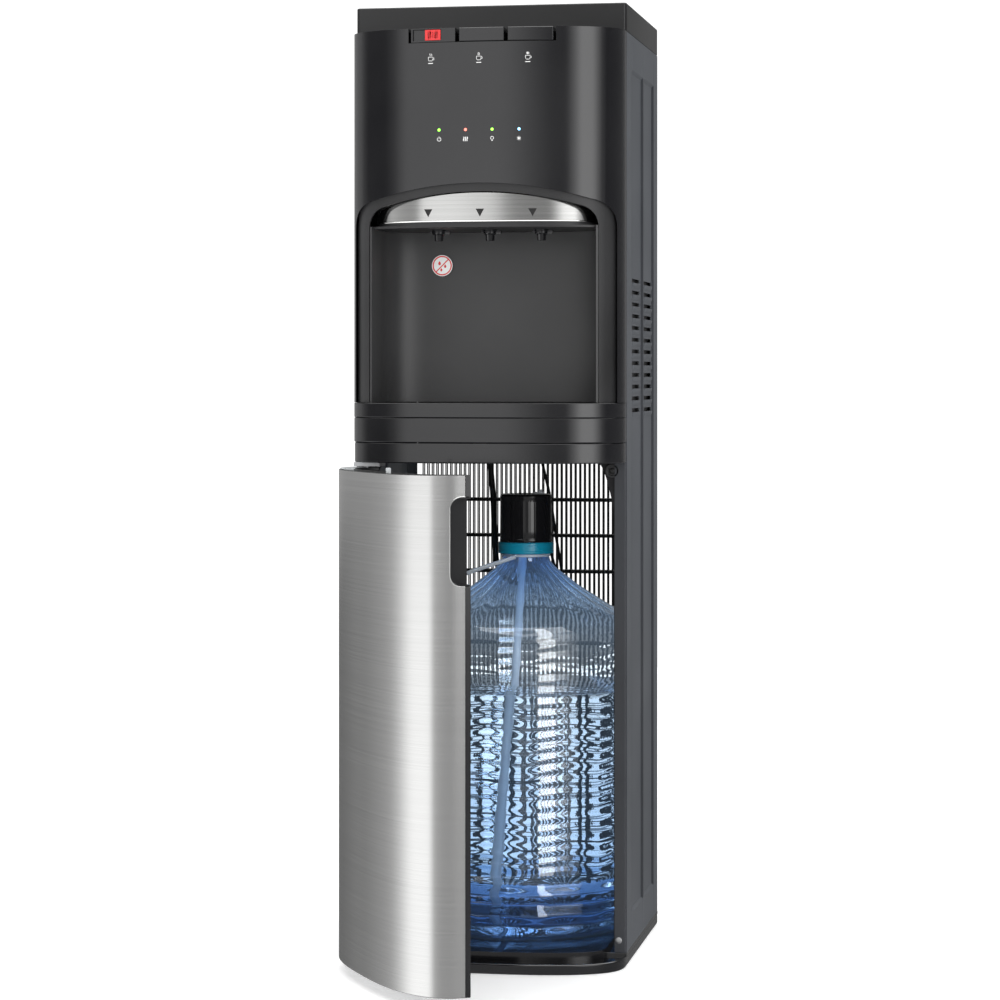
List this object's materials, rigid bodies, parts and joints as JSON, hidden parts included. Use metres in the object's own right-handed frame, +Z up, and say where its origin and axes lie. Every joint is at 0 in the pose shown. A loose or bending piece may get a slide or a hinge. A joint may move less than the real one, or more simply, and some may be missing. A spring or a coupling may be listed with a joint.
{
  "type": "floor standing bottom loading water dispenser",
  "caption": "Tall water dispenser with push-button taps in an alcove, a drip tray, and a hinged door below over a carboy with a probe cap.",
  "frame": {"origin": "on the floor, at the middle of the side panels' footprint, on the base pan's flat underside", "axes": "+Z up, -Y out of the front (the taps and the door), +X to the right of someone facing the front"},
  "size_m": [0.308, 0.52, 1.045],
  "materials": {
    "side_steel": "dark grey satin paint on steel sheet",
    "cabinet_steel": "black satin paint on steel sheet",
    "gloss_black": "gloss black moulded plastic",
    "satin_black": "satin black moulded plastic",
    "brushed_steel": "level brushed stainless steel",
    "zinc": "zinc plated steel",
    "red_plastic": "red moulded plastic",
    "white_plastic": "white diffuser",
    "label": "printed label",
    "tank_steel": "dull stainless steel, with the density of a tank full of water",
    "board": "circuit board",
    "grey_plastic": "light grey moulded plastic",
    "foam": "insulating foam",
    "silicone": "translucent silicone",
    "black_rubber": "black rubber hose",
    "wire_black": "black enamelled wire",
    "compressor_can": "black enamelled compressor can",
    "blue_pet": "clear blue bottle plastic",
    "water": "water",
    "teal_plastic": "teal moulded plastic",
    "clear_plastic": "translucent plastic"
  },
  "bodies": {
    "cabinet": {"side_panel_left": "side_steel", "side_panel_right": "side_steel", "top_cover": "satin_black", "fascia": "gloss_black", "alcove_frame": "satin_black", "alcove_liner": "satin_black", "spout_band": "brushed_steel", "spout_hot": "gloss_black", "spout_room": "gloss_black", "spout_cold": "gloss_black", "line_hot": "silicone", "line_room": "silicone", "line_cold": "silicone", "led_power": "white_plastic", "led_heating": "white_plastic", "led_light": "white_plastic", "led_cooling": "white_plastic", "control_board": "board", "hot_water_sticker": "label", "band_upper": "gloss_black", "band_lower": "gloss_black", "mid_shelf": "cabinet_steel", "base_pan": "gloss_black", "front_post_left": "cabinet_steel", "front_post_right": "cabinet_steel", "catch_boss": "satin_black", "rear_panel": "side_steel", "power_inlet": "satin_black", "tank_shelf": "zinc", "condenser_wires_front": "wire_black", "condenser_wires_back": "wire_black", "condenser_coil": "wire_black", "compressor": "compressor_can", "pump": "grey_plastic", "hot_tank": "tank_steel", "cold_tank": "tank_steel", "cold_tank_jacket": "foam", "supply_hose": "black_rubber", "probe_cable": "black_rubber", "hinge_bracket_top": "zinc"},
    "door": {"door_skin": "brushed_steel", "door_liner": "satin_black", "door_handle_cup": "satin_black", "door_top_cap": "grey_plastic", "door_bottom_cap": "satin_black", "hinge_pin_top": "zinc", "hinge_pin_bottom": "zinc"},
    "bottle": {"bottle_shell": "blue_pet", "bottle_water": "water", "probe_cap": "satin_black", "cap_fitting": "clear_plastic", "cap_ring": "teal_plastic", "probe_tube": "clear_plastic", "neck_handle": "clear_plastic"},
    "hot_button": {"button_hot": "gloss_black"},
    "child_lock": {"child_lock_slider": "red_plastic"},
    "room_button": {"button_room": "gloss_black"},
    "cold_button": {"button_cold": "gloss_black"},
    "tray": {"drip_tray": "gloss_black"},
    "grid": {"drip_grid": "satin_black"}
  },
  "joints": [
    {"name": "door_hinge", "type": "hinge", "parent": "cabinet", "child": "door", "pos_m": [-0.1355, -0.1445, 0.28], "axis": [0, 0, -1], "range_deg": [-58, 37]},
    {"name": "bottle_slide", "type": "slide", "parent": "cabinet", "child": "bottle", "axis": [0, -1, 0], "range_m": [0, 0.045], "deforming": ["supply_hose", "probe_cable"]},
    {"name": "hot_button_push", "type": "slide", "parent": "cabinet", "child": "hot_button", "axis": [0, 1, 0], "range_m": [0, 0.004], "stiffness_N_per_m": 600},
    {"name": "child_lock_slide", "type": "slide", "parent": "hot_button", "child": "child_lock", "axis": [-1, 0, 0], "range_m": [0, 0.012], "stiffness_N_per_m": 60},
    {"name": "room_button_push", "type": "slide", "parent": "cabinet", "child": "room_button", "axis": [0, 1, 0], "range_m": [0, 0.004], "stiffness_N_per_m": 600},
    {"name": "cold_button_push", "type": "slide", "parent": "cabinet", "child": "cold_button", "axis": [0, 1, 0], "range_m": [0, 0.004], "stiffness_N_per_m": 600},
    {"name": "drip_tray_slide", "type": "slide", "parent": "cabinet", "child": "tray", "axis": [0, -1, 0], "range_m": [0, 0.14]},
    {"name": "drip_grid_lift", "type": "slide", "parent": "tray", "child": "grid", "axis": [0, 0, 1], "range_m": [0, 0.03]}
  ]
}
